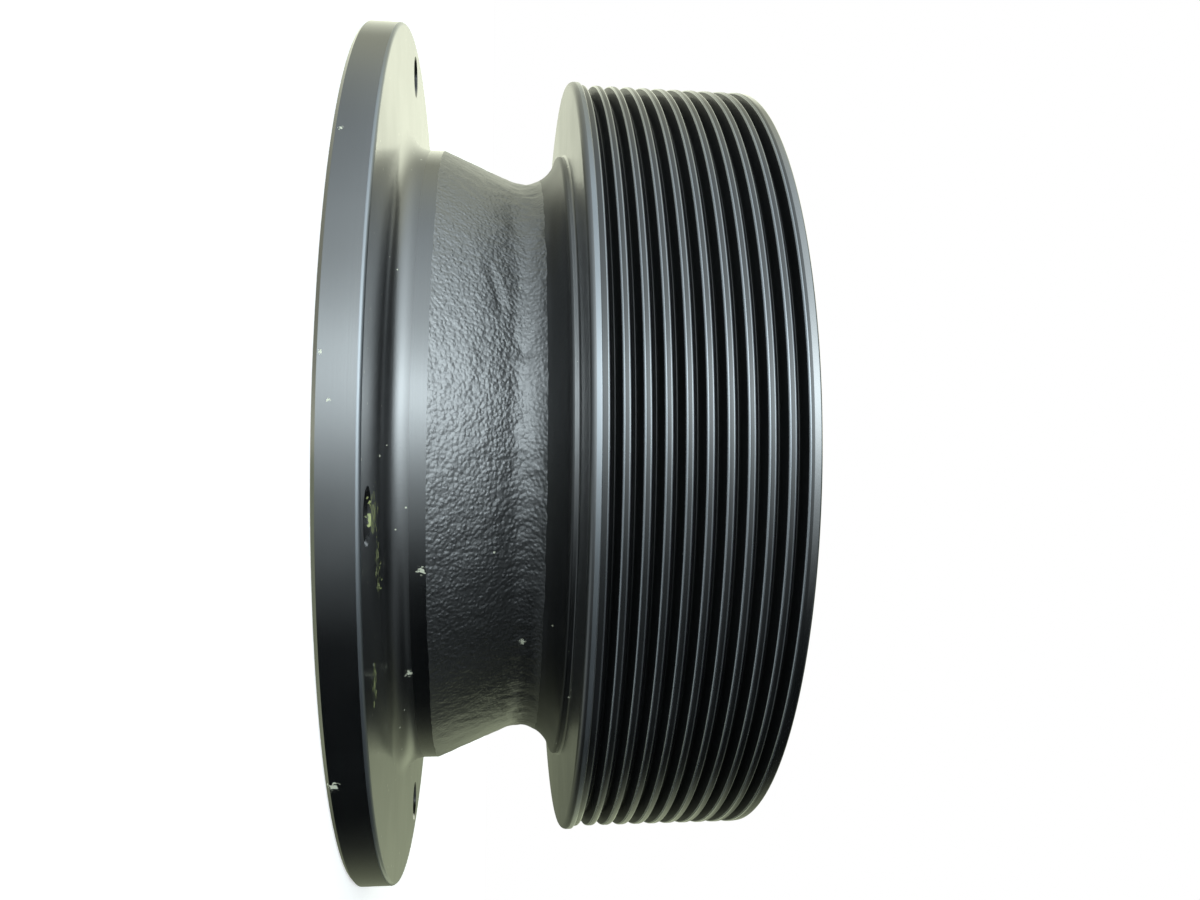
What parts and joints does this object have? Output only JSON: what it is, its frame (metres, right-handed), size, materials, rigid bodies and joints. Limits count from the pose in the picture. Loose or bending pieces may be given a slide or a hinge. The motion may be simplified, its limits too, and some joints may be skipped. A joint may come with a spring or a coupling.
{
  "type": "fan drive pulley",
  "caption": "One-piece cast fan drive pulley: a flat bolting flange, a waisted hollow barrel and a multi-rib belt rim on one axis.",
  "frame": {"origin": "centre of the flange's flat bolting face", "axes": "+Z along the pulley's axis, from the flange to the belt rim; X and Y are at 6 degrees to the two lines of bolt holes"},
  "size_m": [0.2004, 0.2004, 0.0833],
  "materials": {
    "painted_casting": "satin black paint over turned and rough cast iron"
  },
  "bodies": {
    "root": {"fan_drive_pulley": "painted_casting"}
  },
  "joints": []
}
